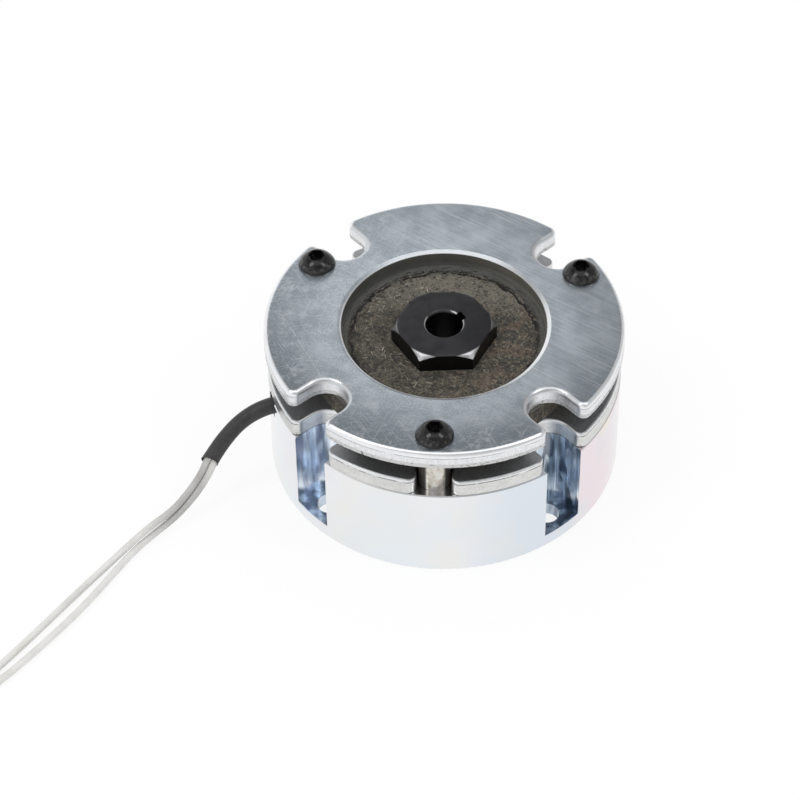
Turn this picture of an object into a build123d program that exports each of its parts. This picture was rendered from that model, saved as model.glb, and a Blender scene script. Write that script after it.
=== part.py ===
from build123d import *
import math
import os

# Spring-applied electromagnetic brake, 100 mm across, in millimetres.
# Z runs along the shaft. The face that bolts to the motor lies at z = 0, centred on the axis.
# The front screw stands at -Y, and the leads leave the housing towards -X.

# Side plate: the outermost disc
plate_thickness = 5.0
plate_opening_radius = 28.5
plate_opening_chamfer = 1.2
plate_opening_chamfer_depth = 0.6
bolt_circle_inset = 7.0
rolled_edge = 1.4
corner_round = 2.2

# Mounting slots, cut in from the rim through housing, armature and side plate
slot_angles = [-135, -45, 45, 135]
slot_half_width = 6.25
foot_thickness = 4.3
mount_hole_radius = 3.5
mount_hole_chamfer = 0.3

# Hexagon hub with a 10 mm bore and a 3 mm key
hub_across_flats = 25.4
hub_length = 24.0
hub_above_core = 5.5
hub_face_inset = 0.8
hub_shoulder_drop = 0.65
hub_shoulder_past_flats = 0.15
hub_corner_slope = 8.0
hub_bore_radius = 5.0
hub_bore_chamfer = 0.4
key_width = 3.0
key_groove_depth = 1.4
key_angle = 36.0

# Magnet housing: a steel cup with an inner pole, a coil groove and an outer pole
housing_height = 30.0
housing_step = 0.5
housing_floor_thickness = 7.0
housing_bottom_round = 0.5
housing_top_chamfer = 0.3
hub_swing_gap = 1.0
inner_pole_width = 9.0
coil_groove_width = 9.5
groove_to_slot_wall = 2.25

# Coil on its bobbin, sealed in with resin
coil_fit = 0.15
bobbin_wall = 1.0
winding_inset = 1.0
resin_depth = 2.8
resin_recess = 0.4

# Torque springs, in blind pockets of the inner pole
spring_count = 6
spring_outer_radius = 2.5
spring_wire = 0.8
spring_turns = 6.5
spring_fit = 0.4
spring_pocket_depth = 14.0

# Armature: the plate that the magnet pulls down against the springs
air_gap = 0.2
armature_step = 0.7
armature_thickness = 5.0
armature_rolled_edge = 0.7
least_web = 1.0
web_relief_depth = 4.0

# Rotor: a moulded core with a bonded friction ring on each face
rotor_thickness = 6.8
rotor_collar_gap = 1.0
lining_inner_radius = 26.5
lining_thickness = 0.8
hub_fit = 0.1

# Button-head screws that hold the side plate down on its collars
screw_angles = [-90, 30, 150]
screw_radius = 3.0
screw_length = 30.0
screw_head_radius = 5.25
screw_head_height = 3.3
screw_head_rim = 0.5
screw_face_radius = 2.5
screw_dome_bulge = 0.34
screw_socket = 4.0
screw_socket_depth = 2.1
screw_hole_gap = 0.2
thread_fit = 0.05
tapped_hole_spare = 3.0
collar_radius = 4.5
collar_bore_gap = 0.2
collar_chamfer = 0.3
collar_notch_gap = 0.3

# Lead exit: a channel in the rim of the housing, under the armature
exit_angle = 198.0
exit_depth = 5.2
exit_side_gap = 0.4
grommet_length = 6.0
grommet_fit = 0.1

# Leads: two single-core wires, the sleeve over their first stretch, and the coil of the rest
wire_diameter = 2.0
sleeve_diameter = 4.6
sleeve_wall = 0.2
lead_length = 400.0
coil_centre = (-132.3, -100.4)
coil_a_radius = 10.0
coil_b_radius = 12.1
coil_pitch = 2.05
tip_radius = 0.55
tip_length = 6.0
tie_angle = 120.0
tie_width = 3.0
tie_thickness = 0.3
tie_gap = 0.3

# Route of the sleeve's middle line, from the grommet to its open mouth
sleeve_route = [
    (-38.5, -12.5, 27.4), (-44.0, -14.3, 27.4), (-50.1, -16.4, 26.8),
    (-55.7, -19.0, 24.1), (-60.1, -22.0, 19.8), (-63.4, -25.0, 15.5),
]

# Routes of the two leads: side by side in the sleeve, then down to the bench and into the coil
wire_a_route = [
    (-38.2, -13.5, 27.4), (-43.65, -15.3, 27.4), (-49.7, -17.35, 26.8),
    (-55.2, -19.9, 24.1), (-59.45, -22.8, 19.8), (-62.7, -25.75, 15.5),
    (-65.5, -28.9, 11.9), (-69.2, -32.7, 8.6), (-73.9, -36.9, 6.0),
    (-79.0, -41.4, 4.2), (-84.0, -46.6, 2.6), (-88.6, -52.3, 1.4),
    (-93.3, -59.0, 1.0), (-99.2, -68.2, 1.0), (-105.4, -78.2, 1.1),
    (-112.6, -89.2, 1.0), (-119.0, -98.4, 1.1), (-123.9, -105.8, 1.2),
]
wire_b_route = [
    (-38.8, -11.5, 27.4), (-44.35, -13.3, 27.4), (-50.5, -15.45, 26.8),
    (-56.2, -18.1, 24.1), (-60.75, -21.2, 19.6), (-63.9, -24.2, 14.8),
    (-65.6, -27.6, 9.8), (-68.8, -31.6, 5.6), (-73.8, -37.0, 2.4),
    (-78.7, -43.6, 1.1), (-83.0, -50.9, 1.0), (-88.8, -60.3, 1.0),
    (-94.8, -69.9, 1.1), (-101.4, -80.0, 1.0), (-108.6, -90.4, 1.0),
    (-115.6, -99.4, 1.1), (-121.9, -106.6, 1.2),
]

# How far cutters run past a face, how near an edge counts as on a circle, and a bend's share of its run
cut_over = 1.0
near = 0.05
bend_share = 0.45

# Radii that follow from the hub outwards; the housing's bore is rounded up to a whole millimetre
housing_bore_radius = math.ceil(hub_across_flats / math.sqrt(3) + hub_swing_gap)
spring_circle_radius = housing_bore_radius + inner_pole_width / 2
inner_pole_radius = housing_bore_radius + inner_pole_width
groove_radius = inner_pole_radius + coil_groove_width
bolt_circle_radius = groove_radius + groove_to_slot_wall + slot_half_width
plate_radius = bolt_circle_radius + bolt_circle_inset
housing_radius = plate_radius - housing_step
armature_radius = plate_radius - armature_step
collar_notch_half_width = collar_radius + collar_notch_gap
rotor_radius = bolt_circle_radius - collar_radius - rotor_collar_gap
sleeve_bore = sleeve_diameter - 2 * sleeve_wall

# Heights that follow from the stack
armature_floor = housing_height + air_gap
armature_top = armature_floor + armature_thickness
rotor_top = armature_top + rotor_thickness
plate_top = rotor_top + plate_thickness
core_floor = armature_top + lining_thickness
core_top = rotor_top - lining_thickness
hub_top = core_top + hub_above_core
hub_floor = hub_top - hub_length
resin_top = housing_height - resin_recess
bobbin_top = resin_top - resin_depth
exit_floor = housing_height - exit_depth
spring_floor = housing_height - spring_pocket_depth
screw_tip = plate_top - screw_length


def polar(radius, angle, z=0.0):
    """Point at a radius and an angle in degrees about the axis."""
    turn = math.radians(angle)
    return (radius * math.cos(turn), radius * math.sin(turn), z)


def from_axis(point):
    """Distance of a point from the axis."""
    return math.hypot(point.X, point.Y)


def disc(radius, low, high):
    """Upright cylinder between two heights."""
    return Pos(0, 0, low) * extrude(Circle(radius), high - low)


def ring(outer, inner, low, high):
    """Upright tube between two heights."""
    return disc(outer, low, high) - disc(inner, low, high)


def on_circle(radius, angle, piece):
    """The piece, moved from the axis to a place on a circle about it."""
    return Pos(*polar(radius, angle)) * piece


def open_slot(half_width, angle, low, high):
    """Cutter for a slot that is open at the rim and round at its inner end."""
    reach = plate_radius + cut_over - bolt_circle_radius
    outline = Pos(bolt_circle_radius, 0) * Circle(half_width)
    outline += Pos(bolt_circle_radius + reach / 2, 0) * Rectangle(reach, 2 * half_width)
    return Rot(0, 0, angle) * (Pos(0, 0, low) * extrude(outline, high - low))


def joined_notches(low, high):
    """Cutters that open a collar notch into a slot where the web between them is too thin."""
    cutters = []
    for notch in screw_angles:
        for slot in slot_angles:
            half_turn = math.radians(slot - notch) / 2
            span = 2 * bolt_circle_radius * abs(math.sin(half_turn))
            web = span - slot_half_width - collar_notch_half_width
            if web > least_web + 2 * corner_round:
                continue
            inner = bolt_circle_radius * math.cos(half_turn) - web_relief_depth
            length = plate_radius + cut_over - inner
            block = Pos(inner + length / 2, 0, low) * extrude(Rectangle(length, span), high - low)
            cutters.append(Rot(0, 0, (notch + slot) / 2) * block)
    return cutters


def blanked_plate(radius, bore, low, high, cutters, roll):
    """Punched plate: a disc with a round hole and open slots, rolled over along its top edge."""
    plate = ring(radius, bore, low, high)
    for cutter in cutters:
        plate -= cutter
    upright = plate.edges().filter_by(Axis.Z)
    corners = upright.filter_by(lambda edge: abs(from_axis(edge.center()) - radius) < near)
    plate = fillet(corners, corner_round)
    return fillet(plate.faces().sort_by(Axis.Z)[-1].outer_wire().edges(), roll)


def hexagon(across_flats, low, high):
    """Upright hexagon bar with the key's side of the hub in the middle of a flat."""
    outline = RegularPolygon(across_flats / 2, 6, major_radius=False)
    first_flat = outline.edges()[0].center()
    turn = key_angle - math.degrees(math.atan2(first_flat.Y, first_flat.X))
    return Rot(0, 0, turn) * (Pos(0, 0, low) * extrude(outline, high - low))


def housing():
    """Cup with its pockets, tapped holes, mounting slots and lead channel."""
    body = disc(housing_radius, 0, housing_height)
    body = fillet(body.edges().sort_by(Axis.Z)[0], housing_bottom_round)
    body = chamfer(body.edges().sort_by(Axis.Z)[-1], housing_top_chamfer)
    top = housing_height + cut_over
    body -= disc(housing_bore_radius, -cut_over, top)
    body -= ring(groove_radius, inner_pole_radius, housing_floor_thickness, top)
    lead_in = Cone(mount_hole_radius, mount_hole_radius + 2 * mount_hole_chamfer, 2 * mount_hole_chamfer)
    mount_hole = disc(mount_hole_radius, -cut_over, foot_thickness + cut_over)
    mount_hole += Pos(0, 0, foot_thickness) * lead_in
    for angle in slot_angles:
        body -= open_slot(slot_half_width, angle, foot_thickness, top)
        body -= on_circle(bolt_circle_radius, angle, mount_hole)
    tapped_hole = disc(screw_radius + thread_fit, screw_tip - tapped_hole_spare, top)
    for angle in screw_angles:
        body -= on_circle(bolt_circle_radius, angle, tapped_hole)
    pocket = disc(spring_outer_radius + spring_fit, spring_floor, top)
    for index in range(spring_count):
        body -= on_circle(spring_circle_radius, index * 360 / spring_count, pocket)
    start = groove_radius - coil_fit
    length = housing_radius + cut_over - start
    width = sleeve_diameter + 2 * exit_side_gap
    channel = Pos(start + length / 2, 0, exit_floor) * extrude(Rectangle(length, width), top - exit_floor)
    return body - Rot(0, 0, exit_angle) * channel


def bobbin():
    """Spool with a flange at each end."""
    inner = inner_pole_radius + coil_fit
    outer = groove_radius - coil_fit
    low = housing_floor_thickness
    spool = ring(inner + bobbin_wall, inner, low, bobbin_top)
    spool += ring(outer, inner, low, low + bobbin_wall)
    return spool + ring(outer, inner, bobbin_top - bobbin_wall, bobbin_top)


def winding():
    """Wound wire between the bobbin's flanges, as one ring."""
    outer = groove_radius - coil_fit - winding_inset
    inner = inner_pole_radius + coil_fit + bobbin_wall
    return ring(outer, inner, housing_floor_thickness + bobbin_wall, bobbin_top - bobbin_wall)


def torque_spring(angle):
    """Round-wire compression spring between its pocket and the armature."""
    low = spring_floor + spring_wire / 2
    rise = armature_floor - spring_wire / 2 - low
    path = Helix(rise / spring_turns, rise, spring_outer_radius - spring_wire / 2)
    wire = sweep(Plane(origin=path @ 0, z_dir=path % 0) * Circle(spring_wire / 2), path, is_frenet=True)
    return on_circle(spring_circle_radius, angle, Pos(0, 0, low) * wire)


def armature():
    """Armature with mounting slots and with notches that the collars guide."""
    low = armature_floor - cut_over
    high = armature_top + cut_over
    cutters = [open_slot(slot_half_width, angle, low, high) for angle in slot_angles]
    cutters += [open_slot(collar_notch_half_width, angle, low, high) for angle in screw_angles]
    cutters += joined_notches(low, high)
    return blanked_plate(armature_radius, housing_bore_radius, armature_floor, armature_top,
                         cutters, armature_rolled_edge)


def side_plate():
    """Friction plate with its opening, slots and screw holes."""
    low = rotor_top - cut_over
    high = plate_top + cut_over
    cutters = [open_slot(slot_half_width, angle, low, high) for angle in slot_angles]
    plate = blanked_plate(plate_radius, plate_opening_radius, rotor_top, plate_top, cutters, rolled_edge)
    rims = plate.edges().filter_by(GeomType.CIRCLE)
    rims = rims.filter_by(lambda edge: abs(edge.radius - plate_opening_radius) < near)
    face = plate.faces().sort_by(Axis.Z)[-1]
    plate = chamfer(rims.sort_by(Axis.Z)[-1], plate_opening_chamfer, plate_opening_chamfer_depth, reference=face)
    for angle in screw_angles:
        plate -= on_circle(bolt_circle_radius, angle, disc(screw_radius + screw_hole_gap, low, high))
    return plate


def rotor_core():
    """Friction disc's core with the hexagon hole that slides on the hub."""
    hole = hexagon(hub_across_flats + 2 * hub_fit, core_floor - cut_over, core_top + cut_over)
    return disc(rotor_radius, core_floor, core_top) - hole


def hub():
    """Hexagon hub with a turned shoulder round each end face, a bore and a keyway."""
    face_radius = hub_across_flats / 2 - hub_face_inset
    shoulder = hub_across_flats / 2 + hub_shoulder_past_flats
    beyond = hub_across_flats / math.sqrt(3) + cut_over
    drop = hub_shoulder_drop + (beyond - shoulder) * math.tan(math.radians(hub_corner_slope))
    upper = [(shoulder, hub_top - hub_shoulder_drop), (face_radius, hub_top), (0, hub_top)]
    lower = [(0, hub_floor), (face_radius, hub_floor), (shoulder, hub_floor + hub_shoulder_drop)]
    profile = Polyline(*lower, (beyond, hub_floor + drop), (beyond, hub_top - drop), *upper, close=True)
    bar = hexagon(hub_across_flats, hub_floor, hub_top) & revolve(Plane.XZ * make_face(profile), Axis.Z)
    bar -= disc(hub_bore_radius, hub_floor - cut_over, hub_top + cut_over)
    mouth = Cone(hub_bore_radius + 2 * hub_bore_chamfer, hub_bore_radius, 2 * hub_bore_chamfer)
    bar -= Pos(0, 0, hub_floor) * mouth
    bar -= Pos(0, 0, hub_top) * (Rot(180, 0, 0) * mouth)
    key_floor = hub_bore_radius + key_groove_depth
    keyway = Pos(key_floor / 2, 0, hub_floor - cut_over) * extrude(
        Rectangle(key_floor, key_width), hub_length + 2 * cut_over)
    return bar - Rot(0, 0, key_angle) * keyway


def collar(angle):
    """Spacer tube that sets the distance from housing to side plate."""
    tube = disc(collar_radius, housing_height, rotor_top)
    tube = chamfer(tube.edges().filter_by(GeomType.CIRCLE), collar_chamfer)
    tube -= disc(screw_radius + collar_bore_gap, housing_height - cut_over, rotor_top + cut_over)
    return on_circle(bolt_circle_radius, angle, tube)


def plate_screw(angle):
    """Button-head screw with a hexagon socket."""
    rim = (screw_head_radius, screw_head_rim)
    crown = (screw_face_radius, screw_head_height)
    dome = SagittaArc(rim, crown, -screw_dome_bulge)
    outline = Polyline(crown, (0, screw_head_height), (0, 0), (screw_head_radius, 0), rim)
    head = revolve(Plane.XZ * make_face(outline + dome), Axis.Z)
    socket = extrude(RegularPolygon(screw_socket / 2, 6, major_radius=False), screw_socket_depth + cut_over)
    head -= Pos(0, 0, screw_head_height - screw_socket_depth) * socket
    shank = disc(screw_radius, screw_tip, plate_top)
    return on_circle(bolt_circle_radius, angle, shank + Pos(0, 0, plate_top) * head)


def grommet():
    """Moulded plug that seals the leads into the channel."""
    width = sleeve_diameter + 2 * exit_side_gap - 2 * grommet_fit
    low = exit_floor + grommet_fit
    block = Pos(groove_radius + grommet_length / 2, 0, low) * extrude(
        Rectangle(grommet_length, width), resin_top - low)
    return Rot(0, 0, exit_angle) * block


def cord_path(route):
    """Straight runs joined by arcs: a share of the shorter run over the tangent of half the turn."""
    points = [Vector(*point) for point in route]
    radii = []
    for before, corner, after in zip(points, points[1:], points[2:]):
        half_turn = math.radians((corner - before).get_angle(after - corner)) / 2
        shorter = min((corner - before).length, (after - corner).length)
        radii.append(bend_share * shorter / math.tan(half_turn))
    return FilletPolyline(*route, radius=radii), radii


def cord_tube(name, route, diameter, bore=0.0):
    """Round tube along a route, with its length, volume and bend radii printed."""
    path, radii = cord_path(route)
    start = Plane(origin=path @ 0, z_dir=path % 0)
    tube = sweep(start * Circle(diameter / 2), path)
    if bore:
        tube -= sweep(start * Circle(bore / 2), path)
    area = math.pi * (diameter ** 2 - bore ** 2) / 4
    ratio = round(tube.volume / (area * path.length), 4)
    bends = [round(radius, 1) for radius in radii]
    print(name, "length", round(path.length, 2), "volume ratio", ratio, "radii", bends)
    return tube


def coil_end(route, radius):
    """Angle and height where a lead's last turn ends, once its whole length is laid in the coil."""
    start = math.degrees(math.atan2(route[-1][1] - coil_centre[1], route[-1][0] - coil_centre[0]))
    turns = (lead_length - tip_length - cord_path(route)[0].length) / (2 * math.pi * radius)
    return start - 360 * turns, route[-1][2] + turns * coil_pitch


def lead_coil():
    """Outer shape of the two columns of turns."""
    outer = coil_b_radius + wire_diameter / 2
    inner = coil_a_radius - wire_diameter / 2
    return Pos(coil_centre[0], coil_centre[1], 0) * ring(outer, inner, 0, coil_height)


def lead_tie():
    """Flat band round the coil's section."""
    low = coil_a_radius - wire_diameter / 2 - tie_gap
    high = coil_b_radius + wire_diameter / 2 + tie_gap
    middle = (low + high) / 2
    top = coil_height + tie_gap
    band = extrude(Rectangle(high - low + 2 * tie_thickness, tie_width), top + tie_thickness)
    band -= extrude(Rectangle(high - low, tie_width), top)
    return Pos(coil_centre[0], coil_centre[1], 0) * (Rot(0, 0, tie_angle) * (Pos(middle, 0, 0) * band))


def lead_tip(route, radius):
    """Tinned end of one lead, straight on from the coil's last turn."""
    angle, height = coil_end(route, radius)
    lying = Rot(90, 0, 0) * extrude(Circle(tip_radius), tip_length)
    place = Rot(0, 0, angle) * (Pos(radius, 0, height) * lying)
    return Pos(coil_centre[0], coil_centre[1], 0) * place


top_turns = [coil_end(wire_a_route, coil_a_radius)[1], coil_end(wire_b_route, coil_b_radius)[1]]
coil_height = max(top_turns) + wire_diameter / 2

pieces = {
    "stator_housing": housing(),
    "coil_bobbin": bobbin(),
    "coil_winding": winding(),
    "coil_resin": ring(groove_radius, inner_pole_radius, bobbin_top, resin_top),
    "lead_grommet": grommet(),
    "armature_plate": armature(),
    "rotor_core": rotor_core(),
    "rotor_lining_lower": ring(rotor_radius, lining_inner_radius, armature_top, core_floor),
    "rotor_lining_upper": ring(rotor_radius, lining_inner_radius, core_top, rotor_top),
    "hex_hub": hub(),
    "side_plate": side_plate(),
    "lead_sleeve": cord_tube("lead_sleeve", sleeve_route, sleeve_diameter, sleeve_bore),
    "lead_wire_a": cord_tube("lead_wire_a", wire_a_route, wire_diameter),
    "lead_wire_b": cord_tube("lead_wire_b", wire_b_route, wire_diameter),
    "lead_coil": lead_coil(),
    "lead_tie": lead_tie(),
    "lead_tip_a": lead_tip(wire_a_route, coil_a_radius),
    "lead_tip_b": lead_tip(wire_b_route, coil_b_radius),
}
for number, angle in enumerate(screw_angles, 1):
    pieces[f"spacer_collar_{number}"] = collar(angle)
    pieces[f"plate_screw_{number}"] = plate_screw(angle)
for number in range(spring_count):
    pieces[f"torque_spring_{number + 1}"] = torque_spring(number * 360 / spring_count)

os.makedirs("parts", exist_ok=True)
for name, piece in pieces.items():
    export_step(piece, f"parts/{name}.step")
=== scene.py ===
import math
import bpy
import numpy as np
from mathutils import Matrix, Vector


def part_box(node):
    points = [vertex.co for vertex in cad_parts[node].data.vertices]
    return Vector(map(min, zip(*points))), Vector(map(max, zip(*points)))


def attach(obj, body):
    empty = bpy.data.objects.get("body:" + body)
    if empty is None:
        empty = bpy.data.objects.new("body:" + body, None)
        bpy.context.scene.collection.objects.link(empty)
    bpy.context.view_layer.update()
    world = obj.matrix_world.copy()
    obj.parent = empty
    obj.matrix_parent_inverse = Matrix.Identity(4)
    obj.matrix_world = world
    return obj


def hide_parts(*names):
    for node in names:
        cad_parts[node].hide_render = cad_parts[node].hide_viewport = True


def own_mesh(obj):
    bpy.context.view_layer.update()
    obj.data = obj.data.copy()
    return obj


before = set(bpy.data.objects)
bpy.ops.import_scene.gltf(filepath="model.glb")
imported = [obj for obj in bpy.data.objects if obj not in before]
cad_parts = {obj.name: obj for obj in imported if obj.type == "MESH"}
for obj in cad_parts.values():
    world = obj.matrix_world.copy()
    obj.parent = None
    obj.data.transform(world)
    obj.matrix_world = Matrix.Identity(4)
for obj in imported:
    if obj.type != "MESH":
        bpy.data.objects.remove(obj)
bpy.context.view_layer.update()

# Camera: a long lens that looks down on the face of the brake from the front, a little from the right.
# Its place follows from the rims, the screws and the hexagon in the picture.
# The picture is square, so the sensor's width is the picture's width.
eye = bpy.data.cameras.new("camera")
eye.lens = 129.39
eye.sensor_width = 36.0
eye.clip_start = 0.05
eye.clip_end = 30.0
camera = bpy.data.objects.new("camera", eye)
bpy.context.scene.collection.objects.link(camera)
rightward = Vector((0.99748307, 0.06986914, -0.01207567))
upward = Vector((-0.04198291, 0.71922724, 0.69350531))
backward = Vector((0.05713977, -0.69125284, 0.72035031))
camera_place = (0.0341449, -0.5655775, 0.6047881)
camera_axes = Matrix((rightward, upward, backward)).transposed().to_4x4()
camera.matrix_world = Matrix.Translation(camera_place) @ camera_axes
bpy.context.scene.camera = camera
bpy.context.scene.view_settings.view_transform = "Standard"


# Bench and studio: a white sheet under the brake, a cove round it that is white low down on the left,
# greyer on the right and bright again straight overhead, and three soft lamps. The sheet glows enough
# to come out white and still takes the brake's shadow. None of it is part of the brake.
class Tone:
    """One output of a shader node. Sums of tones and numbers become Math nodes in the same material."""

    def __init__(self, tree, socket=None):
        self.tree = tree
        self.socket = socket

    def add(self, kind, settings=None, sockets=None, out=0):
        """Adds a node of a type: its settings first, then values or links of its sockets; gives an output."""
        node = self.tree.nodes.new("ShaderNode" + kind)
        for name, value in (settings or {}).items():
            setattr(node, name, value)
        for name, value in (sockets or {}).items():
            if isinstance(value, Tone):
                self.tree.links.new(value.socket, node.inputs[name])
            else:
                node.inputs[name].default_value = value
        return Tone(self.tree, node.outputs[out]) if node.outputs else None

    def math(self, operation, first, second=0.0):
        return self.add("Math", {"operation": operation}, {0: first, 1: second})

    def __add__(self, other):
        return self.math("ADD", self, other)

    def __sub__(self, other):
        return self.math("SUBTRACT", self, other)

    def __rsub__(self, other):
        return self.math("SUBTRACT", other, self)

    def __mul__(self, other):
        return self.math("MULTIPLY", self, other)

    def __abs__(self):
        return self.math("ABSOLUTE", self)

    __radd__ = __add__
    __rmul__ = __mul__

    def rise(self, start, end):
        """0 up to start, 1 from end, and a smooth climb between them."""
        return self.add("MapRange", {"interpolation_type": "SMOOTHSTEP"},
                        {"Value": self, "From Min": start, "From Max": end})

    def mixed(self, none, full):
        """Colour that goes from none to full as this tone goes from 0 to 1. Sockets 6 and 7 of the Mix node
        are its two colours, and its output 2 is the mixed colour."""
        colours = [c if isinstance(c, Tone) else (*c, 1.0) for c in (none, full)]
        return self.add("Mix", {"data_type": "RGBA"}, {0: self, 6: colours[0], 7: colours[1]}, 2)


bench_reach = 4
bench_level = -0.0003
sheet_corners = [(x * bench_reach, y * bench_reach, bench_level)
                 for x, y in ((-1, -1), (1, -1), (1, 1), (-1, 1))]
sheet_mesh = bpy.data.meshes.new("bench_sheet")
sheet_mesh.from_pydata(sheet_corners, [], [(0, 1, 2, 3)])
sheet = bpy.data.objects.new("bench_sheet", sheet_mesh)
bpy.context.scene.collection.objects.link(sheet)
paper = bpy.data.materials.new("white_paper")
paper.use_nodes = True
paper.node_tree.nodes.clear()
sight = Tone(paper.node_tree)
shown = sight.add("LightPath", out="Is Camera Ray")
mirrored = sight.add("LightPath", out="Is Glossy Ray")
through = sight.add("LightPath", out="Is Transmission Ray")
white = (1, 1, 1, 1)
sheet_white = (0.95, 0.95, 0.95, 1)
sheet_glow = 0.84
matt = sight.add("BsdfDiffuse", {}, {"Color": sheet_white})
glow = sight.add("Emission", {}, {"Color": white, "Strength": 1.0})
glowing = (shown + mirrored + through) * sheet_glow
sheet_face = sight.add("MixShader", {}, {0: glowing, 1: matt, 2: glow})
sight.add("OutputMaterial", {}, {"Surface": sheet_face})
sheet_mesh.materials.append(paper)

studio = bpy.data.worlds.new("studio")
bpy.context.scene.world = studio
studio.use_nodes = True
studio.node_tree.nodes.clear()
air = Tone(studio.node_tree)
shown = air.add("LightPath", out="Is Camera Ray")
mirrored = air.add("LightPath", out="Is Glossy Ray")
heading = air.add("TexCoord", out="Generated")
height = air.add("SeparateXYZ", {}, {0: heading}, 2)
to_left = air.add("SeparateXYZ", {}, {0: heading}, 0).rise(0.40, -0.30)
cove_grey = 0.40
cove_low = 0.20
cove_left = 0.38
cove_overhead = 0.8
air_level = 0.92
low_light = height.rise(0.70, 0.50) * (cove_low + cove_left * to_left)
cove = cove_grey + low_light + cove_overhead * height.rise(0.84, 0.92)
level = shown + (1 - shown) * (mirrored * cove + (1 - mirrored) * air_level)
sky = air.add("Background", {}, {"Color": white, "Strength": level})
air.add("OutputWorld", {}, {"Surface": sky})


def lamp(name, place, aim, size, brightness):
    """Soft lamp with a flat face of that size in metres, turned to a point. Brightness is how bright the
    face looks, and the lamp's energy is that times pi and the face's area."""
    light = bpy.data.lights.new(name, "AREA")
    light.shape = "RECTANGLE"
    light.size, light.size_y = size
    light.energy = brightness * math.pi * size[0] * size[1]
    holder = bpy.data.objects.new(name, light)
    holder.rotation_euler = (Vector(aim) - Vector(place)).to_track_quat("-Z", "Y").to_euler()
    holder.location = place
    bpy.context.scene.collection.objects.link(holder)


brake_middle = (0, 0, 0.04)
lamp("lamp_back", place=(-0.16, 0.52, 0.41), aim=brake_middle, size=(0.30, 0.14), brightness=0.8)
lamp("lamp_left", place=(-0.38, -0.21, 0.66), aim=brake_middle, size=(0.22, 0.28), brightness=4.0)
lamp("lamp_right", place=(0.42, -0.14, 0.64), aim=brake_middle, size=(0.18, 0.28), brightness=4.0)


# Leads: two single-core wires with off-white insulation, 2 mm thick and 400 mm long, sealed into the
# housing. They run side by side down to the bench; what the picture doesn't show is wound up and tied.
# Each is one smooth spline on its solid's route, moved by up to 2 mm where it comes out of the sleeve.
def cord_line(name, points, thickness):
    """Round cord: a spline of order 3 with the points as its control points, and a round section."""
    line = bpy.data.curves.new(name, "CURVE")
    line.dimensions = "3D"
    spline = line.splines.new("NURBS")
    spline.points.add(len(points) - 1)
    spline.points.foreach_set("co", np.c_[points, np.ones(len(points))].ravel())
    spline.order_u = 3
    spline.use_endpoint_u = True
    spline.resolution_u = 8
    line.bevel_depth = thickness / 2
    line.bevel_resolution = 5
    line.use_fill_caps = True
    return line


def drawn_line(points):
    """Points along the smooth spline of a route, as it is drawn with no section."""
    bare = cord_line("bare", points, 0.0)
    holder = bpy.data.objects.new("bare", bare)
    mesh = bpy.data.meshes.new_from_object(holder)
    drawn = np.empty(len(mesh.vertices) * 3)
    mesh.vertices.foreach_get("co", drawn)
    bpy.data.objects.remove(holder)
    bpy.data.curves.remove(bare)
    bpy.data.meshes.remove(mesh)
    return drawn.reshape(-1, 3)


def start_finish(name):
    """New material with no nodes yet, and the part's own coordinates in it, in millimetres, which every
    height and distance in a finish is in."""
    made = bpy.data.materials.new(name)
    made.use_nodes = True
    made.node_tree.nodes.clear()
    metres = Tone(made.node_tree).add("TexCoord", out="Object")
    return made, metres.add("VectorMath", {"operation": "SCALE"}, {0: metres, "Scale": 1000.0})


def split(spot):
    """Distances of a spot in millimetres: along X, Y and Z, and from the shaft's axis."""
    parts = spot.add("SeparateXYZ", {}, {0: spot})
    x, y, z = (Tone(spot.tree, parts.socket.node.outputs[k]) for k in range(3))
    return x, y, z, spot.math("SQRT", x * x + y * y)


def patches(spot, size, turn=0.0, detail=2.0):
    """Noise from 0 to 1 in patches as long as size says in X, Y and Z, turned by degrees about the shaft."""
    laid = spot.add("Mapping", {"vector_type": "TEXTURE"},
                    {"Vector": spot, "Rotation": (0, 0, math.radians(turn)), "Scale": size})
    return laid.add("TexNoise", {}, {"Vector": laid, "Scale": 1.0, "Detail": detail, "Roughness": 0.6})


def end_finish(spot, colour, roughness, relief=None, depth=0.0, **fixed):
    """Ends a material: a bump as deep as depth says in millimetres, then the shader and the output."""
    sockets = {"Base Color": colour, "Roughness": roughness}
    if relief is not None:
        metres = depth / 1000
        sockets["Normal"] = spot.add("Bump", {}, {"Height": relief, "Distance": metres, "Strength": 1.0})
    for name, value in fixed.items():
        sockets[name.replace("_", " ")] = value
    spot.add("OutputMaterial", {}, {"Surface": spot.add("BsdfPrincipled", {}, sockets)})


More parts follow.
